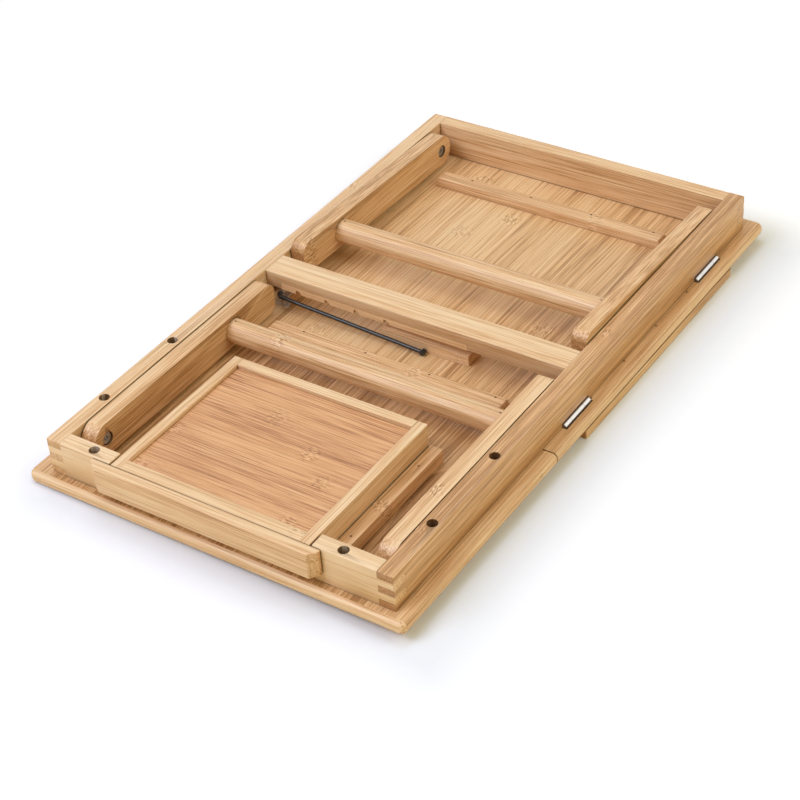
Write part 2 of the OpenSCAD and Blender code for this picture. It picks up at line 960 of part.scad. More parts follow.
module ledge_brads() {
    color(grey_steel)
        at_ledge_brads() rod_z(0, 0, -ledge_bite, top_thk - brad_sink, brad_d / 2);
}

module at_brads() {
    step = (batten_y1 - brad_back_in - batten_y0 - brad_front_in) / (brad_n - 1);
    for (x = batten_xs)
        for (i = [0 : brad_n - 1])
            translate([x + batten_wid - brad_x, batten_y0 + brad_front_in + i * step, 0])
                children();
}

module batten(x) {
    color(bamboo)
        on_deck()
            difference() {
                translate([x, 0, 0])
                    rotate([90, 0, 90])
                        linear_extrude(height = batten_wid)
                            polygon([[batten_y0, 0],
                                     [batten_y1, 0],
                                     [batten_y1 - batten_bevel, batten_h],
                                     [batten_y0 + batten_bevel, batten_h]]);
                at_brads() rod_z(0, 0, -cut, batten_h + cut, brad_d / 2 + screw_fit);
            }
}

module batten_near() {
    batten(batten_xs[0]);
}

module batten_far() {
    batten(batten_xs[1]);
}

module batten_brads() {
    color(grey_steel) on_deck() at_brads() rod_z(0, 0, -brad_bite, batten_h - brad_sink, brad_d / 2);
}

// Block that the folded stay lies against
module stay_block() {
    x0 = frame_x + cross_x0 + block_face;
    color(bamboo) on_deck() box(x0, x0 + block_wid,
                                 top_wid / 2 - block_in - block_len, top_wid / 2 - block_in,
                                 0, block_h);
}

// Hinges: two knuckles on the frame's leaf and one between them on the panel's, round one pin
module hinge_leaf(up) {
    z0 = up > 0 ? leaf_gap : -leaf_gap - leaf_t;
    difference() {
        union() {
            box(-hinge_len / 2, hinge_len / 2, knuckle_d / 2 + knuckle_gap, leaf_wid,
                z0, z0 + leaf_t);
            for (i = up > 0 ? [0, 2] : [1]) {
                x0 = hinge_len * knuckle_shares[i] + knuckle_gap / 2;
                x1 = hinge_len * knuckle_shares[i + 1] - knuckle_gap / 2;
                rod_x(x0, x1, 0, 0, knuckle_d / 2);
                box(x0, x1, 0, leaf_wid / 2, z0, z0 + leaf_t);
            }
        }
        rod_x(-hinge_len / 2 - cut, hinge_len / 2 + cut, 0, 0, hinge_pin_d / 2 + run_fit);
        for (s = [-1, 1])
            translate([s * leaf_screw_x, leaf_screw_y, up * leaf_gap])
                rotate([up > 0 ? 180 : 0, 0, 0]) {
                    rod_z(0, 0, -leaf_t - cut, cut, leaf_screw_d / 2 + screw_fit);
                    translate([0, 0, -leaf_t])
                        cylinder(h = leaf_t, d1 = leaf_screw_d + 2 * screw_fit,
                                 d2 = leaf_screw_head + 2 * screw_fit);
                }
    }
}

module hinge_at(i) {
    in_frame() translate([hinge_xs[i], hinge_y, 0]) children();
}

module hinge_a_rail_leaf() {
    color(steel) hinge_at(0) hinge_leaf(1);
}

module hinge_b_rail_leaf() {
    color(steel) hinge_at(1) hinge_leaf(1);
}

module hinge_a_panel_leaf() {
    color(steel) hinge_at(0) hinge_leaf(-1);
}

module hinge_b_panel_leaf() {
    color(steel) hinge_at(1) hinge_leaf(-1);
}

module hinge_pins() {
    color(steel)
        for (i = [0, 1])
            hinge_at(i) rod_x(-hinge_len / 2, hinge_len / 2, 0, 0, hinge_pin_d / 2);
}

module hinge_screws(up) {
    color(steel)
        for (i = [0, 1])
            hinge_at(i)
                for (s = [-1, 1])
                    translate([s * leaf_screw_x, leaf_screw_y, up * leaf_gap])
                        rotate([up > 0 ? 180 : 0, 0, 0])
                            flat_screw(leaf_screw_head, leaf_screw_d, leaf_screw_len);
}

module hinge_screws_rail() {
    hinge_screws(1);
}

module hinge_screws_panel() {
    hinge_screws(-1);
}

// Places of the two clip screws, at the deck
module at_clip_screws() {
    for (s = [-1, 1])
        translate([stay_x + wire_bend + pad_face + pad_wid / 2, stay_y + s * clip_screw_out, 0])
            children();
}

// Pad that lifts the stay's pivot off the panel
module stay_pad() {
    x0 = stay_x + wire_bend + pad_face;
    color(bamboo)
        on_deck()
            difference() {
                box(x0, x0 + pad_wid, stay_y - pad_len / 2, stay_y + pad_len / 2, 0, pad_h);
                at_clip_screws() rod_z(0, 0, -cut, pad_h + cut, clip_screw_d / 2 + screw_fit);
            }
}

// Outline of the clip, its free corners round
module clip_outline(length) {
    translate([0, -clip_len / 2]) square([length - clip_r, clip_len]);
    translate([0, -clip_len / 2 + clip_r]) square([length, clip_len - 2 * clip_r]);
    for (s = [-1, 1])
        translate([length - clip_r, s * (clip_len / 2 - clip_r)]) circle(clip_r);
}

// Steel saddle clip: it holds the stay's pivot on the pad, steps down the pad's near face and
// ends in a foot on the panel
module stay_clip() {
    r_in = wire_d / 2 + clip_fit;
    color(grey_steel)
        on_deck()
            translate([stay_x + wire_bend + pad_face, stay_y, 0])
                difference() {
                    union() {
                        translate([0, 0, pad_h])
                            linear_extrude(height = clip_t) clip_outline(clip_wid);
                        rod_x(-clip_t, clip_wid, 0, stay_z, r_in + clip_t);
                        box(-clip_t, 0, -clip_len / 2, clip_len / 2, 0, pad_h + clip_t);
                        mirror([1, 0, 0])
                            linear_extrude(height = clip_t) clip_outline(clip_toe);
                    }
                    rod_x(-clip_toe, clip_wid + cut, 0, stay_z, r_in);
                    box(-clip_toe, clip_wid + cut, -r_in, r_in, clip_t, stay_z);
                    box(0, clip_wid + cut, -clip_len, clip_len, -cut, pad_h);
                    translate([-stay_x - wire_bend - pad_face, -stay_y, 0])
                        at_clip_screws()
                            rod_z(0, 0, -cut, pad_h + clip_t + cut,
                                  clip_screw_d / 2 + screw_fit);
                }
}

module clip_screws() {
    color(steel)
        on_deck() at_clip_screws() {
            rod_z(0, 0, pad_h + clip_t, pad_h + 2 * clip_t, clip_screw_head / 2);
            rod_z(0, 0, -clip_screw_bite, pad_h + clip_t, clip_screw_d / 2);
        }
}

// Stay: one bent wire, drawn about its pivot and then laid down by its slope. It runs from its
// pivot under the clip, round a bend and along to the tip, where a cap lies across its end.
module in_stay() {
    on_deck() translate([stay_x, stay_y, stay_z]) rotate([stay_slope, 0, 0]) children();
}

module stay_wire() {
    color(black_wire)
        in_stay() {
            rod_x(wire_bend, pivot_end, 0, 0, wire_d / 2);
            translate([wire_bend, -wire_bend, 0])
                rotate([0, 0, 90])
                    rotate_extrude(angle = 90) translate([wire_bend, 0]) circle(wire_d / 2);
            rod_y(0, -stay_len, -wire_bend, 0, wire_d / 2);
        }
}

module stay_cap() {
    color(black_wire)
        in_stay()
            difference() {
                rod_x(-cap_in, cap_out, -stay_len, 0, cap_d / 2);
                rod_y(0, -stay_len, -stay_len + cap_d, 0, wire_d / 2);
            }
}

rail_back();
rail_front();
rail_stub_back();
rail_stub_front();
rail_far();
cross_rail();
ratchet_strip();
fixed_core();
fixed_end_band();
fixed_lip_front();
fixed_lip_back();
panel_screws();
runner_back();
runner_front();
runner_brads();
pivot_screws();
pivot_washers();
hinge_a_rail_leaf();
hinge_b_rail_leaf();
hinge_pins();
hinge_screws_rail();
tilt_core();
tilt_end_band();
tilt_lip_front();
tilt_lip_back();
batten_near();
batten_far();
batten_brads();
stay_block();
stop_ledge();
ledge_brads();
hinge_a_panel_leaf();
hinge_b_panel_leaf();
hinge_screws_panel();
stay_pad();
stay_clip();
clip_screws();
stay_wire();
stay_cap();
leg_near_back();
leg_near_front();
dowel_near();
dowel_near_brads();
leg_far_back();
leg_far_front();
dowel_far();
dowel_far_brads();
drawer_front();
drawer_side_back();
drawer_side_front();
drawer_near_wall();
drawer_rear_wall();
drawer_bottom();
drawer_screws();
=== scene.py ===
# %% [markdown]
# # A folding bamboo laptop table, lying on its show face
#
# This script gives each board its softened arrises and its bamboo, each steel part its finish,
# and then sets up the floor, the light and the camera.

import json
import math

import bmesh
import bpy
import numpy as np
from mathutils import Matrix, Vector


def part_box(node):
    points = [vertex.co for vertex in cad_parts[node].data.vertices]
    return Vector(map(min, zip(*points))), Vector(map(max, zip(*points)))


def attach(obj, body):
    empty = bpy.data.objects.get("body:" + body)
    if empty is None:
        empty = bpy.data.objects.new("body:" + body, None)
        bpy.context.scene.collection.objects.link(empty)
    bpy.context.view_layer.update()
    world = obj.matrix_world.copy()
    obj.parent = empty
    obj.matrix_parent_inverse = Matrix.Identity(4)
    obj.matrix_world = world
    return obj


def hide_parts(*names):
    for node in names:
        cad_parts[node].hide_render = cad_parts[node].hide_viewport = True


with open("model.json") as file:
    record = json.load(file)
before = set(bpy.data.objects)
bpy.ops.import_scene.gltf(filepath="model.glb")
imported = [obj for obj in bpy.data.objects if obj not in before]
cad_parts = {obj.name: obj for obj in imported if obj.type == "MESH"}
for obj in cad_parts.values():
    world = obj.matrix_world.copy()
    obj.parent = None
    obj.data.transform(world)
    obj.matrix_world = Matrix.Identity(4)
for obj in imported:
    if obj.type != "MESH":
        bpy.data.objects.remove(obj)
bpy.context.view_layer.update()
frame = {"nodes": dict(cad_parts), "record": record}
nodes = frame["nodes"]
body_of_node = {n: b for b, names in frame["record"]["behaviour"]["bodies"].items() for n in names}
MM = 0.001

# %% [markdown]
# ## Colours and nodes
#
# A hex colour is written in sRGB, as a paint chart or a photograph has it, but the shader counts
# in linear light, so one function turns the one into the other. A second small function adds a
# node with its settings and links, so that each material below reads as a list of steps.


# %% Helpers for all materials
def linear(hex_colour):
    """Linear light of an sRGB hex colour: the low part is divided by 12.92, the rest follows the
    power 2.4 curve."""
    srgb = np.array([int(hex_colour[i : i + 2], 16) for i in (1, 3, 5)]) / 255
    low = srgb / 12.92
    high = ((srgb + 0.055) / 1.055) ** 2.4
    return (*np.where(srgb <= 0.04045, low, high).tolist(), 1.0)


def add(tree, kind, links=None, **settings):
    """Adds one node. Settings whose names start with in_ go to the input of that number, all the
    others are the node's own settings, and links joins inputs to other nodes' outputs."""
    made = tree.nodes.new("ShaderNode" + kind)
    for name, value in settings.items():
        if name.startswith("in_"):
            made.inputs[int(name[3:])].default_value = value
        else:
            setattr(made, name, value)
    for key, source in (links or {}).items():
        tree.links.new(source, made.inputs[key])
    return made


def new_material(name):
    """An empty material with its output and its main shader."""
    made = bpy.data.materials.new(name)
    made.use_nodes = True
    tree = made.node_tree
    tree.nodes.clear()
    shader = add(tree, "BsdfPrincipled")
    add(tree, "OutputMaterial", {"Surface": shader.outputs[0]})
    return made, tree, shader


print("bamboo's middle colour in linear light:", [round(c, 3) for c in linear("#DFB68A")[:3]])

# %% [markdown]
# ## Bamboo as a solid pattern
#
# The table is made of laminated bamboo: sawn strips, planed, glued side by side and coated with a
# thin satin lacquer. A picture wrapped round each board would break at the edges. So the grain is
# a pattern in space, measured in millimetres along the grain, across it and through the board,
# and it runs over the arrises as it does in the real wood. Each board carries two numbers of its
# own, a seed that shifts the pattern and a tone that makes the whole board paler or darker.

# %% Find a point's place in its board
SEED_SHIFT = (173.0, 31.7, 13.3)


def place_in_board(tree, along_y):
    """A point's place in mm along the grain, across it and through the board: its object
    coordinate plus the board's seed times SEED_SHIFT. end_on says how squarely a face looks
    along the grain, from 0 to 1."""
    place = add(tree, "TexCoord")
    in_mm = add(tree, "VectorMath", {0: place.outputs["Object"]}, operation="SCALE", in_3=1 / MM)
    axes = add(tree, "SeparateXYZ", {0: in_mm.outputs[0]})
    grain, beside = (1, 0) if along_y else (0, 1)
    seed = add(tree, "Attribute", attribute_name="seed").outputs["Fac"]
    along, across, through = [
        add(tree, "Math", {0: seed, 2: axes.outputs[axis]}, operation="MULTIPLY_ADD",
            in_1=shift).outputs[0]
        for axis, shift in zip((grain, beside, 2), SEED_SHIFT)
    ]
    whole = add(tree, "CombineXYZ", {0: along, 1: across, 2: through})
    facing = add(tree, "SeparateXYZ", {0: place.outputs["Normal"]})
    end_on = add(tree, "Math", {0: facing.outputs[grain]}, operation="ABSOLUTE")
    return {"along": along, "across": across, "through": through, "whole": whole.outputs[0],
            "seed": seed, "end_on": end_on.outputs[0]}


def from_middle(tree, number, size):
    """How far a point lies from the middle of its cell: what follows the decimal point of the
    cell's number, less a half, times size."""
    for operation, by in (("FRACT", 0.0), ("SUBTRACT", 0.5), ("MULTIPLY", size)):
        number = add(tree, "Math", {0: number}, operation=operation, in_1=by).outputs[0]
    return number


print("a seed of 1 shifts the grain by", SEED_SHIFT, "mm")

# %% [markdown]
# ## Strips and fibres
#
# A strip is one slat from the cane's wall, a few millimetres wide, and no two have quite the same
# colour. Inside it run fibres as thin as a hair, in lighter and darker bands. White noise gives
# every strip its own chance number, and a soft noise that is stretched along the grain draws the
# fibres. They are drawn about twice as coarse as real ones, so that they show in the render.

# %% Strips and fibres
LAYER = 9.0
FIBRES = (45.0, 0.9, 2.0)
BANDS = (110.0, 1.5, 2.0)
BROAD = (260.0, 14.0, 1.0)


def strips_across(tree, spot, strip):
    """The strip's number, which is the place across divided by the strip's width, and a white
    noise node that is fed with the whole numbers of the strip and of its layer."""
    number = add(tree, "Math", {0: spot["across"]}, operation="DIVIDE", in_1=strip)
    strip_id = add(tree, "Math", {0: number.outputs[0]}, operation="FLOOR")
    layer_no = add(tree, "Math", {0: spot["through"]}, operation="DIVIDE", in_1=LAYER)
    layer_id = add(tree, "Math", {0: layer_no.outputs[0]}, operation="FLOOR")
    which = add(tree, "CombineXYZ", {0: strip_id.outputs[0], 1: layer_id.outputs[0],
                                     2: spot["seed"]})
    chance = add(tree, "TexWhiteNoise", {"Vector": which.outputs[0]}, noise_dimensions="3D")
    return number.outputs[0], chance


def streaks(tree, spot, chance, length, width, detail):
    """Noise of the place divided by a length and a width in mm. The strip's chance colour moves
    it, so that no streak runs on into the next strip."""
    scaled = add(tree, "VectorMath", {0: spot["whole"]}, operation="DIVIDE",
                 in_1=(length, width, width))
    moved = add(tree, "VectorMath", {0: scaled.outputs[0], 1: chance.outputs["Color"]},
                operation="ADD")
    noise = add(tree, "TexNoise", {"Vector": moved.outputs[0]}, noise_dimensions="3D",
                in_2=1.0, in_3=detail, in_4=0.6)
    return noise.outputs["Fac"]


print("fibres, bands and broad waves in mm along and across:", FIBRES[:2], BANDS[:2], BROAD[:2])

# %% [markdown]
# ## Node marks
#
# Every 20 cm or so the cane had a ring. In a planed strip it is a patch of short brown ticks,
# with ridges beside them and a pale halo around. A loose scatter of patches would fall across two
# strips, so the marks are tied to planks of a few strips: one in each plank and each length of
# cane, at a place given by chance, and drawn in about half of the planks.

# %% Node marks
TICK = (3.6, 0.9, 0.9)
RIDGE_HEIGHT = 0.36
HALO_START = 3.0


def node_marks(tree, spot, plank, node_gap):
    """Marks around the middle of each cell of plank by node_gap mm. Each part is a share from 0
    to 1, apart from ridges, which is a change of tone."""
    plank_no = add(tree, "Math", {0: spot["across"]}, operation="DIVIDE", in_1=plank)
    plank_id = add(tree, "Math", {0: plank_no.outputs[0]}, operation="FLOOR")
    plank_at = add(tree, "CombineXYZ", {0: plank_id.outputs[0], 1: spot["seed"]})
    chance = add(tree, "TexWhiteNoise", {"Vector": plank_at.outputs[0]}, noise_dimensions="3D")
    node_no = add(tree, "Math", {0: spot["along"]}, operation="DIVIDE", in_1=node_gap)
    node_no = add(tree, "Math", {0: node_no.outputs[0], 1: chance.outputs["Value"]},
                  operation="ADD")
    from_node = add(tree, "CombineXYZ", {
        0: from_middle(tree, node_no.outputs[0], node_gap),
        1: from_middle(tree, plank_no.outputs[0], 0.9 * plank),
    })
    reach = add(tree, "VectorMath", {0: from_node.outputs[0]}, operation="LENGTH")
    near, halo = [
        add(tree, "MapRange", {0: reach.outputs["Value"]}, interpolation_type="SMOOTHSTEP",
            in_1=start, in_2=end, in_3=1.0, in_4=0.0)
        for start, end in ((0.15 * plank, 0.5 * plank), (HALO_START, 0.85 * plank))
    ]
    shown = add(tree, "Math", {0: chance.outputs["Color"]}, operation="GREATER_THAN", in_1=0.5)
    near = add(tree, "Math", {0: near.outputs[0], 1: shown.outputs[0]}, operation="MULTIPLY")
    scaled = add(tree, "VectorMath", {0: spot["whole"]}, operation="DIVIDE", in_1=TICK)
    noise = add(tree, "TexNoise", {"Vector": scaled.outputs[0]}, noise_dimensions="3D",
                in_2=1.0, in_3=0.0, in_4=0.5, in_8=0.6)
    ridges = add(tree, "MapRange", {0: noise.outputs["Fac"]}, in_1=0.3, in_2=0.7,
                 in_3=RIDGE_HEIGHT, in_4=-RIDGE_HEIGHT)
    ticks = add(tree, "MapRange", {0: noise.outputs["Fac"]}, in_1=0.5, in_2=0.62)
    ridges, ticks = [
        add(tree, "Math", {0: part.outputs[0], 1: near.outputs[0]}, operation="MULTIPLY")
        for part in (ridges, ticks)
    ]
    return {"chance": chance.outputs["Value"], "ticks": ticks.outputs[0],
            "ridges": ridges.outputs[0], "halo": halo.outputs[0]}


print("one tick in mm along, across and through:", TICK)

# %% [markdown]
# ## The bamboo material
#
# All that makes the wood paler or darker is added up to one level, and a ramp of three colours
# turns it into honey tones. Brown then goes where the ticks are and on the thin glue line between
# two strips, and painted shade goes in bores and in gaps where two boards all but touch. The
# lacquer is satin: fairly rough, with a thin coat over fibres that stand a few hundredths of a
# millimetre proud.

# %% The bamboo material
BAND_SHARE, BROAD_SHARE = 1.1, 0.7
HALO_SHARE, END_GRAIN_SHARE = 0.12, -0.22
GLUE_LINE = 0.45
GAP_SHADE_REACH = 2.5 * MM
FIBRE_HEIGHT = 0.08 * MM
# The last two browns are painted shade: one in bores, where it also darkens the glue on joint
# seams, and one in narrow gaps between boards.
NODE_BROWN, GLUE_BROWN, BORE_SHADE_AND_GLUE_BROWN, PAINTED_GAP_SHADE = "#7E4E2C", "#8A5C2E", "#4A2E16", "#3B2512"


def bamboo(name, along_y, strip, strip_share, plank, dark, middle, pale, gold, node_share,
           fibre_share=1.6, plank_share=0.25, node_gap=230.0):
    """Laminated bamboo. along_y turns the grain from X to Y. strip is the width of a glued strip
    and plank the width that one node mark spans, both in mm; strip_share and plank_share are how
    far they differ in tone, node_share how strongly the node marks show, fibre_share the finest
    lines, and node_gap the distance in mm between the nodes of one plank."""
    made, tree, shader = new_material(name)
    spot = place_in_board(tree, along_y)
    strip_no, chance = strips_across(tree, spot, strip)
    fibres, bands, broad = [streaks(tree, spot, chance, *kind) for kind in (FIBRES, BANDS, BROAD)]
    node = node_marks(tree, spot, plank, node_gap)

    # Level: a half when every noise is at its own half, plus the board's tone
    end_grain = add(tree, "MapRange", {0: spot["end_on"]}, in_1=0.6, in_2=0.95).outputs[0]
    shares = fibre_share + BAND_SHARE + BROAD_SHARE + strip_share + plank_share
    tone = add(tree, "Attribute", attribute_name="tone")
    level = add(tree, "Math", {0: tone.outputs["Fac"]}, operation="ADD", in_1=0.5 - 0.5 * shares)
    for source, share in (
        (fibres, fibre_share), (bands, BAND_SHARE), (broad, BROAD_SHARE),
        (chance.outputs["Value"], strip_share), (node["chance"], plank_share),
        (node["ridges"], 1.0), (node["halo"], HALO_SHARE * node_share),
        (end_grain, END_GRAIN_SHARE),
    ):
        level = add(tree, "Math", {0: source, 2: level.outputs[0]}, operation="MULTIPLY_ADD",
                    in_1=share)

    # What is brown: node ticks, glue lines on some of the strips, dark glue on joint seams, and
    # painted shade in bores and in narrow gaps
    ticks = add(tree, "Math", {0: node["ticks"]}, operation="MULTIPLY", in_1=node_share)
    edge = add(tree, "Math", {0: from_middle(tree, strip_no, 1.0)}, operation="ABSOLUTE")
    glue = add(tree, "MapRange", {0: edge.outputs[0]}, in_1=0.5 - GLUE_LINE / strip, in_2=0.5)
    glue_on = add(tree, "MapRange", {0: chance.outputs["Value"]}, in_1=0.35, in_2=0.7,
                  in_4=0.35)
    glue = add(tree, "Math", {0: glue.outputs[0], 1: glue_on.outputs[0]}, operation="MULTIPLY")
    bored = add(tree, "Attribute", attribute_name="bored")
    # Painted shade: ambient occlusion within a few millimetres darkens the colour where two boards
    # all but touch.
    gap_occlusion = add(tree, "AmbientOcclusion", samples=6, in_1=GAP_SHADE_REACH)
    painted_gap_shade = add(tree, "MapRange", {0: gap_occlusion.outputs["AO"]}, in_1=0.15, in_2=0.6, in_3=0.85,
                in_4=0.0)

    # Colour: from dark through middle to pale, towards gold where the broad noise is high
    ramp = add(tree, "ValToRGB", {0: level.outputs[0]})
    for element, position, tint in zip(ramp.color_ramp.elements, (0.08, 0.92), (dark, pale)):
        element.position = position
        element.color = linear(tint)
    ramp.color_ramp.elements.new(0.5).color = linear(middle)
    gold_on = add(tree, "MapRange", {0: broad}, in_1=0.42, in_2=0.62, in_4=0.2)
    colour = add(tree, "Mix", {0: gold_on.outputs[0], 6: ramp.outputs[0]}, data_type="RGBA",
                 blend_type="MULTIPLY", in_7=linear(gold))
    for share, tint in ((ticks.outputs[0], NODE_BROWN), (glue.outputs[0], GLUE_BROWN),
                        (bored.outputs["Fac"], BORE_SHADE_AND_GLUE_BROWN), (painted_gap_shade.outputs[0], PAINTED_GAP_SHADE)):
        colour = add(tree, "Mix", {0: share, 6: colour.outputs[2]}, data_type="RGBA",
                     in_7=linear(tint))
    tree.links.new(colour.outputs[2], shader.inputs["Base Color"])

    # Satin lacquer
    rough = add(tree, "MapRange", {0: bands}, in_1=0.3, in_2=0.7, in_3=0.42, in_4=0.56)
    tree.links.new(rough.outputs[0], shader.inputs["Roughness"])
    shader.inputs["IOR"].default_value = 1.5
    shader.inputs["Coat Weight"].default_value = 0.3
    shader.inputs["Coat Roughness"].default_value = 0.3
    height = add(tree, "Math", {0: ticks.outputs[0], 2: fibres}, operation="MULTIPLY_ADD",
                 in_1=-0.8)
    bump = add(tree, "Bump", {"Height": height.outputs[0]}, in_0=0.35)
    bump.inputs["Distance"].default_value = FIBRE_HEIGHT
    tree.links.new(bump.outputs[0], shader.inputs["Normal"])
    return made


print("gaps darken within", GAP_SHADE_REACH / MM, "mm")

# %% [markdown]
# ## Five kinds of bamboo
#
# The frame, the legs and the drawer's walls are boards of 6 mm strips. The top is pressed on
# edge, so it shows strips of 2.6 mm. The drawer's bottom is a thin sheet pressed flat, with strips
# of 21 mm, browner and with more node marks. The crossbars are turned from a glued square. One
# function with five sets of values keeps them one family.

# %% The five kinds
HONEY = dict(dark="#AB7B4B", middle="#DFB68A", pale="#F3DABA", gold="#F6E2C5")
board_x = bamboo("laminated_bamboo_board_x", False, 6.0, 0.15, 18.0, node_share=0.22, **HONEY)
board_y = bamboo("laminated_bamboo_board_y", True, 6.0, 0.15, 18.0, node_share=0.22, **HONEY)
ply_x = bamboo("edge_pressed_bamboo_ply_x", False, 2.6, 0.22, 24.0, node_share=0.22,
               dark="#A07345", middle="#DFB788", pale="#EED3AE", gold="#EFD8B4", plank_share=0.38)
sheet_y = bamboo("flat_pressed_bamboo_sheet_y", True, 21.0, 0.1, 21.0, node_share=0.3,
                 dark="#9E6740", middle="#D6A177", pale="#E8BF94", gold="#F4E0BE", node_gap=120.0,
                 fibre_share=2.2, plank_share=0.1)
rod_y = bamboo("turned_bamboo_rod_y", True, 9.0, 0.15, 20.0, node_share=0.22, **HONEY)
print("bamboo materials:", [m.name for m in bpy.data.materials])

# %% [markdown]
# ## Steel, enamel and rubber
#
# The hinges, the washers, the saddle clip and the small screws are nickel plated steel: bright
# and slightly uneven. The screws in the legs and in the fixed panel are zinc plated, which is
# greyer and duller. The brads are bronzed pins and show as small brown dots. The stay is steel
# wire with black enamel, whose gloss draws one thin line of light along it, and its tip wears a
# black rubber cap. A plating follows the metal, so it is a metal with a roughness that wanders; a
# coat hides it, so it is a dark plastic with a fine relief.

# %% The platings and the coats
PLATE_CLOUD = 1.5
PLATE_SHADE = 0.82
COAT_DUST = "#2E2E2F"


def plated(name, colour, roughness, uneven):
    """Plated steel: a metal whose roughness wanders a little, as handling and plating leave it."""
    made, tree, shader = new_material(name)
    shader.inputs["Metallic"].default_value = 1.0
    place = add(tree, "TexCoord")
    cloud = add(tree, "TexNoise", {"Vector": place.outputs["Object"]},
                in_2=1 / (PLATE_CLOUD * MM), in_3=3.0)
    rough = add(tree, "MapRange", {0: cloud.outputs["Fac"]}, in_1=0.3, in_2=0.7,
                in_3=roughness - uneven, in_4=roughness + uneven)
    bright = linear(colour)
    shade = tuple(PLATE_SHADE * c for c in bright[:3]) + (1.0,)
    tint = add(tree, "Mix", {0: cloud.outputs["Fac"]}, data_type="RGBA", in_6=bright, in_7=shade)
    tree.links.new(rough.outputs[0], shader.inputs["Roughness"])
    tree.links.new(tint.outputs[2], shader.inputs["Base Color"])
    return made


def coated(name, colour, roughness, grain):
    """A black coat on wire or rubber: plain colour with a fine unevenness in its height, whose
    grain is in mm."""
    made, tree, shader = new_material(name)
    shader.inputs["IOR"].default_value = 1.5
    place = add(tree, "TexCoord")
    cloud = add(tree, "TexNoise", {"Vector": place.outputs["Object"]}, in_2=1 / (grain * MM),
                in_3=2.0)
    tint = add(tree, "Mix", {0: cloud.outputs["Fac"]}, data_type="RGBA",
               in_6=linear(colour), in_7=linear(COAT_DUST))
    rough = add(tree, "MapRange", {0: cloud.outputs["Fac"]}, in_3=roughness - 0.05,
                in_4=roughness + 0.08)
    bump = add(tree, "Bump", {"Height": cloud.outputs["Fac"]}, in_0=0.2)
    bump.inputs["Distance"].default_value = 0.05 * MM
    tree.links.new(tint.outputs[2], shader.inputs["Base Color"])
    tree.links.new(rough.outputs[0], shader.inputs["Roughness"])
    tree.links.new(bump.outputs[0], shader.inputs["Normal"])
    return made


nickel = plated("nickel_plated_steel", "#F0EFEC", 0.34, 0.06)
zinc = plated("zinc_plated_steel", "#C9CCCE", 0.38, 0.08)
bronzed = plated("bronzed_steel_pin", "#7A5A41", 0.5, 0.08)
enamel = coated("black_enamelled_wire", "#141415", 0.22, 2.0)
rubber = coated("black_rubber", "#101010", 0.5, 0.6)
print("metals and coats:", [m.name for m in (nickel, zinc, bronzed, enamel, rubber)])

# %% [markdown]
# ## Which edges are softened
#
# On the real table every sawn edge that a hand can reach is eased with sandpaper, and where two
# boards meet flush only a hair line shows. So the edges are sorted first. An edge counts as a
# joint if the point just beyond it, a little below the surface, lies in a neighbour. The walls of
# a bore are narrow facets that turn by small angles and have their neighbours in front of them.

# %% Tell one edge from another
SHARP = math.radians(32)
LEVEL = math.cos(math.radians(0.5))
TANGENT = math.cos(SHARP)
FLAT_WIDTH = 2.2 * MM
SHORTEST = 2.4 * MM
BEYOND = 0.3 * MM
LIFT = 0.01 * MM
boxes = {n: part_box(n) for n in nodes}


def inside_another(point, own):
    """True where the point lies in the box of any other solid of the same body."""
    return any(
        all(low[i] < point[i] < high[i] for i in range(3))
        for n, (low, high) in boxes.items()
        if n != own and body_of_node[n] == body_of_node[own]
    )


def edge_kind(edge, own):
    """free for a convex edge that a hand can reach, joint for one that meets a neighbour, and
    None for a flat, hollow or short one."""
    if len(edge.link_faces) != 2 or edge.calc_length() < SHORTEST:
        return None
    one, two = edge.link_faces
    if one.normal.dot(two.normal) > TANGENT:
        return None
    middle = (edge.verts[0].co + edge.verts[1].co) / 2
    if (two.calc_center_median() - middle).dot(one.normal) > 0:
        return None
    for first, second in ((one, two), (two, one)):
        if inside_another(middle - BEYOND * first.normal + BEYOND * second.normal, own):
            return "joint"
    return "free"


def is_round(face):
    """True for a narrow facet that turns into a neighbour by a small angle."""
    longest = max(e.calc_length() for e in face.edges)
    if face.calc_area() / longest > FLAT_WIDTH:
        return False
    turns = [f.normal.dot(face.normal) for e in face.edges for f in e.link_faces if f != face]
    return any(TANGENT < t < LEVEL for t in turns)


def is_hollow(face):
    """True for a facet of a bore: its neighbours lie in front of it."""
    here = face.calc_center_median()
    return any(
        (f.calc_center_median() - here).dot(face.normal) > LIFT and is_round(f)
        for e in face.edges for f in e.link_faces if f != face
    )


print("boxes of solids to test against:", len(boxes))

# %% [markdown]
# ## Boards with softened arrises
#
# The solids stay as they are. Each finished piece is a copy of one, whose doubled points are
# merged and whose flat faces are made whole again, and then its free edges are rounded. A bevel
# modifier could do that too, but it can't tell a free edge from a joint.

# %% Ease the edges of a copied solid
DOUBLED = 0.002 * MM
# BORE_SHADE is the share of painted shade in a bore, GLUED the share of dark glue on a joint seam.
BORE_SHADE = 0.75
GLUED = 0.85


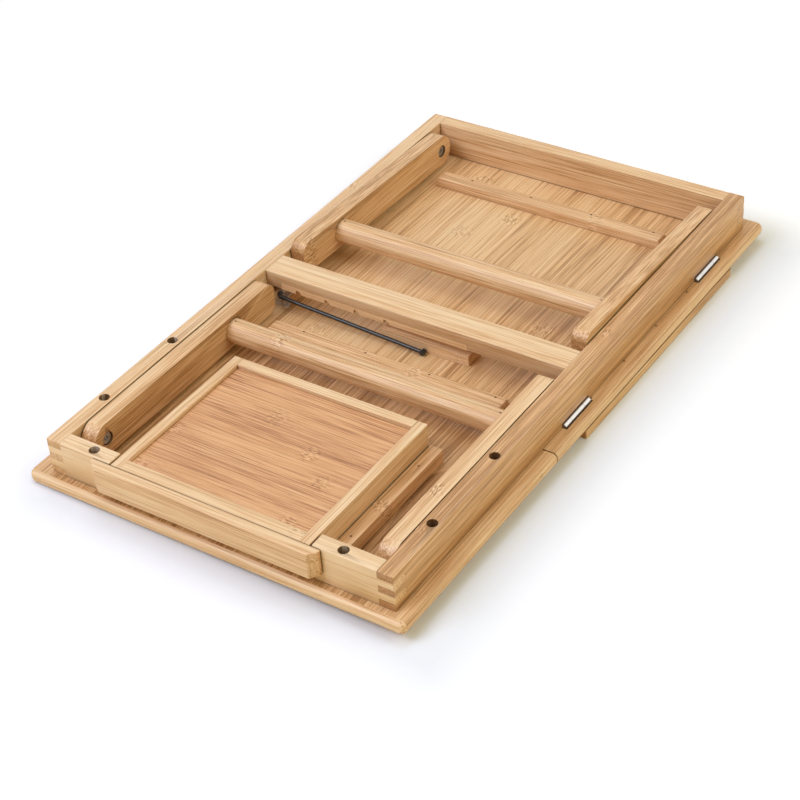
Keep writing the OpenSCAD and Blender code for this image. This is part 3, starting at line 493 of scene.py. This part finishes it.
def eased(node, material, ease, seed=0.0, tone=0.0, seam=0.0):
    """A copy of a solid with its free edges rounded to the radius ease and its joint edges to the
    radius seam, both in mm. Bores are marked for painted shade, joints for their dark glue."""
    mesh = nodes[node].data.copy()
    work = bmesh.new()
    work.from_mesh(mesh)
    bmesh.ops.remove_doubles(work, verts=work.verts, dist=DOUBLED)
    bmesh.ops.dissolve_limit(work, angle_limit=math.radians(0.5), verts=work.verts,
                             edges=work.edges)
    bored = work.faces.layers.float.new("bored")
    for face in work.faces:
        face.smooth = is_round(face)
        face[bored] = BORE_SHADE if face.smooth and is_hollow(face) else 0.0
    for kind, radius, rings in (("free", ease, 3), ("joint", seam, 1)):
        edges = [e for e in work.edges if radius > 0 and edge_kind(e, node) == kind]
        if edges:
            rounded = bmesh.ops.bevel(work, geom=edges, offset=radius * MM, segments=rings,
                                      profile=0.5, affect="EDGES", clamp_overlap=True)
            for face in rounded["faces"]:
                face.smooth = True
                face[bored] = GLUED if kind == "joint" else 0.0
    work.to_mesh(mesh)
    work.free()
    for name, value in (("seed", seed), ("tone", tone)):
        flat = np.full(len(mesh.vertices), value, np.float32)
        mesh.attributes.new(name, "FLOAT", "POINT").data.foreach_set("value", flat)
    mesh.materials.clear()
    mesh.materials.append(material)
    mesh.set_sharp_from_angle(angle=SHARP)
    made = bpy.data.objects.new(node + "_finished", mesh)
    bpy.context.scene.collection.objects.link(made)
    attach(made, body_of_node[node])
    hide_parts(node)
    return made


# Each board: its bamboo, the radius of its arrises in mm, its own seed and its tone
BOARDS = {
    "rail_back": (board_x, 0.8, 0.11, 0.1),
    "rail_front": (board_x, 0.8, 0.37, -0.08),
    "rail_stub_back": (board_y, 0.8, 0.53, 0.4),
    "rail_stub_front": (board_y, 0.8, 0.71, 0.36),
    "rail_far": (board_y, 0.8, 0.93, 0.2),
    "cross_rail": (board_y, 0.8, 1.17, 0.26),
    "ratchet_strip": (board_y, 0.2, 1.31, 0.10),
    "fixed_core": (ply_x, 0.4, 1.49, -0.08),
    "fixed_end_band": (board_y, 0.3, 1.61, 0.22),
    "fixed_lip_front": (board_x, 0.3, 1.83, 0.02),
    "fixed_lip_back": (board_x, 0.3, 2.07, 0.06),
    "runner_back": (board_x, 0.5, 2.23, 0.0),
    "runner_front": (board_x, 0.5, 2.41, 0.0),
    "tilt_core": (ply_x, 0.4, 2.67, 0.04),
    "tilt_end_band": (board_y, 0.3, 2.89, 0.1),
    "tilt_lip_front": (board_x, 0.3, 3.03, 0.02),
    "tilt_lip_back": (board_x, 0.3, 3.19, 0.04),
    "batten_near": (board_y, 0.6, 3.37, 0.02),
    "batten_far": (board_y, 0.6, 3.53, 0.06),
    "stay_block": (board_y, 0.4, 3.71, 0.04),
    "stay_pad": (board_x, 0.4, 3.97, 0.08),
    "stop_ledge": (board_x, 1.0, 4.13, 0.0),
    "leg_near_back": (board_x, 1.2, 4.29, 0.02),
    "leg_near_front": (board_x, 1.2, 4.57, 0.04),
    "leg_far_back": (board_x, 1.2, 4.85, -0.12),
    "leg_far_front": (board_x, 1.2, 4.91, 0.06),
    "dowel_near": (rod_y, 0.6, 5.07, 0.08),
    "dowel_far": (rod_y, 0.6, 5.23, 0.02),
    "drawer_front": (board_y, 0.7, 5.41, 0.12),
    "drawer_side_back": (board_x, 0.5, 5.59, 0.22),
    "drawer_side_front": (board_x, 0.5, 5.77, 0.18),
    "drawer_near_wall": (board_y, 0.5, 5.93, 0.2),
    "drawer_rear_wall": (board_y, 0.5, 6.11, 0.22),
    "drawer_bottom": (sheet_y, 0.3, 6.29, 0.0),
}
SEAMED = ("rail_", "cross_", "drawer_")
HAIR_LINE = 0.5
boards = {
    n: eased(n, m, e, seed=s, tone=t, seam=HAIR_LINE if n.startswith(SEAMED) else 0.0)
    for n, (m, e, s, t) in BOARDS.items()
}
print("boards:", len(boards))

# %% [markdown]
# ## Hinges, screws, brads, clip and stay
#
# These are small and round, and their solids already have the right form. They get smooth shading
# and their finish; the clip and the hinge leaves also lose the sharpness of their stamped edges,
# and the cap that of its mould.

# %% Finish the metal parts
METAL = {
    "hinge_a_rail_leaf": (nickel, 0.15), "hinge_b_rail_leaf": (nickel, 0.15),
    "hinge_a_panel_leaf": (nickel, 0.15), "hinge_b_panel_leaf": (nickel, 0.15),
    "hinge_pins": (nickel, 0.0), "hinge_screws_rail": (nickel, 0.0),
    "hinge_screws_panel": (nickel, 0.0), "pivot_washers": (nickel, 0.0),
    "pivot_screws": (zinc, 0.0), "panel_screws": (zinc, 0.0),
    "runner_brads": (bronzed, 0.0), "ledge_brads": (bronzed, 0.0),
    "drawer_screws": (nickel, 0.0), "batten_brads": (bronzed, 0.0),
    "dowel_near_brads": (bronzed, 0.0), "dowel_far_brads": (bronzed, 0.0),
    "clip_screws": (nickel, 0.0), "stay_clip": (nickel, 0.3),
    "stay_wire": (enamel, 0.0), "stay_cap": (rubber, 0.3),
}
metal = {n: eased(n, m, e) for n, (m, e) in METAL.items()}
print("metal parts:", len(metal))

# %% [markdown]
# ## Floor
#
# The table lies on its stop ledge and on the back edge of its top, so the real floor is turned
# about one degree against the boards. The floor is a plane through those two lines. Under the
# table it is cut away: the closed top covers that opening, and the tilting panel can be seen to
# swing down through it.

# %% Lay the floor
LEDGE_LINE = Vector((0, -0.1503, 0))
BACK_LINE = Vector((0, 0.147, 0.007))
SINK = Vector((0, 0, 0.0002))
FLOOR_REACH = 4.0
WELL_SIDE, WELL_FRONT, WELL_BACK = 0.22, 0.04, 0.29


def corners(left, right, near, far):
    """The four corners of a rectangle, in a round."""
    return [(left, near), (right, near), (right, far), (left, far)]


lean = math.atan2(BACK_LINE.z - LEDGE_LINE.z, BACK_LINE.y - LEDGE_LINE.y)
flat = corners(-FLOOR_REACH, FLOOR_REACH, -FLOOR_REACH, FLOOR_REACH)
flat += corners(-WELL_SIDE, WELL_SIDE, WELL_FRONT, WELL_BACK)
turned = [Matrix.Rotation(lean, 3, "X") @ Vector((x, y, 0)) + LEDGE_LINE - SINK for x, y in flat]
ring = [(i, (i + 1) % 4, 4 + (i + 1) % 4, 4 + i) for i in range(4)]
floor_mesh = bpy.data.meshes.new("floor")
floor_mesh.from_pydata([tuple(c) for c in turned], [], ring)
floor = bpy.data.objects.new("floor", floor_mesh)
bpy.context.scene.collection.objects.link(floor)
print("floor leans by", round(math.degrees(lean), 2), "degrees")

# %% [markdown]
# ## White paper
#
# The table stands on white paper that runs over into a white wall, as a photographer's sweep
# does. To the camera and to shiny metal the paper is white, with a painted shade close to the
# table that goes by the distance from the top's edges, on top of the shadows that the lamps cast.
# For all other light it is a plain straw colour, which throws warm light back on the wood, as the
# photograph's golden shade asks. Well away from the table the paper glows white, so no horizon
# shows. A camera below the floor looks through the paper, so that the show face can be looked at
# too.

# %% Colour the paper
SHADE_CENTRE = (-0.008, -0.022, 0.0)
HALF_TOP = (0.251, 0.151, 1.0)
NOTHING = (0.0, 0.0, 0.0)
SHADE_REACH = 0.11
GLOW_START, GLOW_FULL = 0.2, 0.5
NEAR_PAINTED_SHADE = (0.885, 0.97, 1.16, 1)
AWAY_WHITE = (1.4, 1.47, 1.68, 1)
PALE_PAPER = (0.82, 0.7, 0.42, 1)
paper, tree, shader = new_material("white_paper_sweep")
seen = add(tree, "LightPath")
straight = add(tree, "Math", {0: seen.outputs["Is Camera Ray"],
                              1: seen.outputs["Is Glossy Ray"]}, operation="MAXIMUM")

# Distance from the top's rectangle: how far outside it on each axis, then the length of that
away = add(tree, "TexCoord").outputs["Object"]
for operation, by in (("SUBTRACT", SHADE_CENTRE), ("ABSOLUTE", NOTHING),
                      ("SUBTRACT", HALF_TOP), ("MAXIMUM", NOTHING)):
    away = add(tree, "VectorMath", {0: away}, operation=operation, in_1=by).outputs[0]
away = add(tree, "VectorMath", {0: away}, operation="LENGTH").outputs["Value"]
# Painted shade: to the camera the paper is darker near the top's edges and whiter further out.
outside = add(tree, "MapRange", {0: away}, in_1=0.0, in_2=SHADE_REACH)
to_camera = add(tree, "Mix", {0: outside.outputs[0]}, data_type="RGBA", in_6=NEAR_PAINTED_SHADE,
                in_7=AWAY_WHITE)
white = add(tree, "Mix", {0: straight.outputs[0], 7: to_camera.outputs[2]}, data_type="RGBA",
            in_6=PALE_PAPER)
tree.links.new(white.outputs[2], shader.inputs["Base Color"])
shader.inputs["Roughness"].default_value = 1.0
shader.inputs["Specular IOR Level"].default_value = 0.0

# Glow far from the table, and nothing at all for a camera that looks up from below
horizon = add(tree, "MapRange", {0: away}, in_1=GLOW_START, in_2=GLOW_FULL)
side_seen = add(tree, "NewGeometry")
glow_share, from_below = [
    add(tree, "Math", {0: source, 1: straight.outputs[0]}, operation="MULTIPLY")
    for source in (horizon.outputs[0], side_seen.outputs["Backfacing"])
]
glow = add(tree, "Emission")
sweep = add(tree, "MixShader", {0: glow_share.outputs[0], 1: shader.outputs[0],
                                2: glow.outputs[0]})
clear = add(tree, "BsdfTransparent")
sweep = add(tree, "MixShader", {0: from_below.outputs[0], 1: sweep.outputs[0],
                                2: clear.outputs[0]})
paper_end = next(n for n in tree.nodes if n.type == "OUTPUT_MATERIAL")
tree.links.new(sweep.outputs[0], paper_end.inputs["Surface"])
floor_mesh.materials.append(paper)
print("paper shades to white within", SHADE_REACH, "m of the top")

# %% [markdown]
# ## Lamps
#
# The photograph's shadows say that a large softbox stands to the left of the drawer end. A
# weaker one hangs overhead, and a third fills the shade from the right. The first two are tinted
# a little cool and the third warm, which brings lit and shaded wood nearer to the photograph.
# Softboxes are square area lamps, because a point lamp would draw hard shadows.

# %% Hang the softboxes
COOL = (1.0, 1.03, 1.21)
WARM = (1.0, 0.94, 0.72)


def softbox(name, place, size, power, colour):
    """A square area lamp at place that looks at the table: its -Z axis goes from there to the
    middle of the scene."""
    lamp = bpy.data.lights.new(name, "AREA")
    lamp.energy = power
    lamp.color = colour
    lamp.size = size
    made = bpy.data.objects.new(name, lamp)
    made.location = place
    made.rotation_euler = (-Vector(place)).to_track_quat("-Z", "Y").to_euler()
    bpy.context.scene.collection.objects.link(made)
    return made


softbox("key_softbox", (-1.5, 0.9, 1.9), 1.3, 27.0, COOL)
softbox("top_softbox", (0.2, 0.2, 2.3), 1.2, 9.0, COOL)
softbox("fill_softbox", (0.3, -1.5, 1.2), 1.4, 11.0, WARM)

# %% [markdown]
# ## Room
#
# A dim, warm room around the lamps keeps the shaded faces from going black, and they turn golden
# as the light that reaches them has met bamboo before. The camera, metal and glass see the room
# as white. Its lower half is white for all light, so that the table isn't dark from below.

# %% Light the room
ROOM_COLOUR, ROOM_STRENGTH = (1.0, 0.84, 0.42, 1), 0.4
WHITE = (1, 1, 1, 1)
LOW_START, LOW_FULL = -0.05, -0.15
room = bpy.data.worlds.new("white_room")
bpy.context.scene.world = room
room.use_nodes = True
tree = room.node_tree
tree.nodes.clear()
seen = add(tree, "LightPath")
straight = seen.outputs["Is Camera Ray"]
for ray in ("Is Transmission Ray", "Is Glossy Ray"):
    straight = add(tree, "Math", {0: straight, 1: seen.outputs[ray]},
                   operation="MAXIMUM").outputs[0]
strength = add(tree, "MapRange", {0: straight}, in_3=ROOM_STRENGTH, in_4=1.0)
wall = add(tree, "Mix", {0: straight}, data_type="RGBA", in_6=ROOM_COLOUR, in_7=WHITE)
way = add(tree, "TexCoord")
way = add(tree, "SeparateXYZ", {0: way.outputs["Generated"]})
low = add(tree, "MapRange", {0: way.outputs["Z"]}, in_1=LOW_START, in_2=LOW_FULL)
wall = add(tree, "Mix", {0: low.outputs[0], 6: wall.outputs[2]}, data_type="RGBA", in_7=WHITE)
strength = add(tree, "Math", {0: strength.outputs[0], 1: low.outputs[0]}, operation="MAXIMUM")
air = add(tree, "Background", {"Strength": strength.outputs[0], "Color": wall.outputs[2]})
add(tree, "OutputWorld", {"Surface": air.outputs[0]})
print("room:", room.name, "at strength", ROOM_STRENGTH)

# %% [markdown]
# ## Camera
#
# The camera's place comes from fitting the table's known edges to the photograph. It looks down
# by 38 degrees from the drawer end's side, with a long lens, so that the far end is only a little
# smaller than the near one. The fit gives the lens and the centre in pixels of an 800 pixel
# picture.

# %% Set the camera
EYE = Vector((-0.93368, -0.66296, 0.84754))
RIGHT = Vector((0.545947, -0.835456, -0.062884)).normalized()
BACK = Vector((-0.638854, -0.463681, 0.613894)).normalized()
UP = BACK.cross(RIGHT).normalized()
PICTURE = 800
FOCAL = 1977.74
CENTRE = (407.69, 404.83)
SENSOR = 36.0
camera = bpy.data.objects.new("camera", bpy.data.cameras.new("camera"))
bpy.context.scene.collection.objects.link(camera)
turn = Matrix((RIGHT, UP, BACK)).transposed()
camera.matrix_world = Matrix.Translation(EYE) @ turn.to_4x4()
camera.data.sensor_width = SENSOR
camera.data.lens = FOCAL * SENSOR / PICTURE
camera.data.shift_x = (PICTURE / 2 - CENTRE[0]) / PICTURE
camera.data.shift_y = (CENTRE[1] - PICTURE / 2) / PICTURE
bpy.context.scene.camera = camera
bpy.context.scene.view_settings.view_transform = "Standard"
print("lens:", camera.data.lens, "mm")
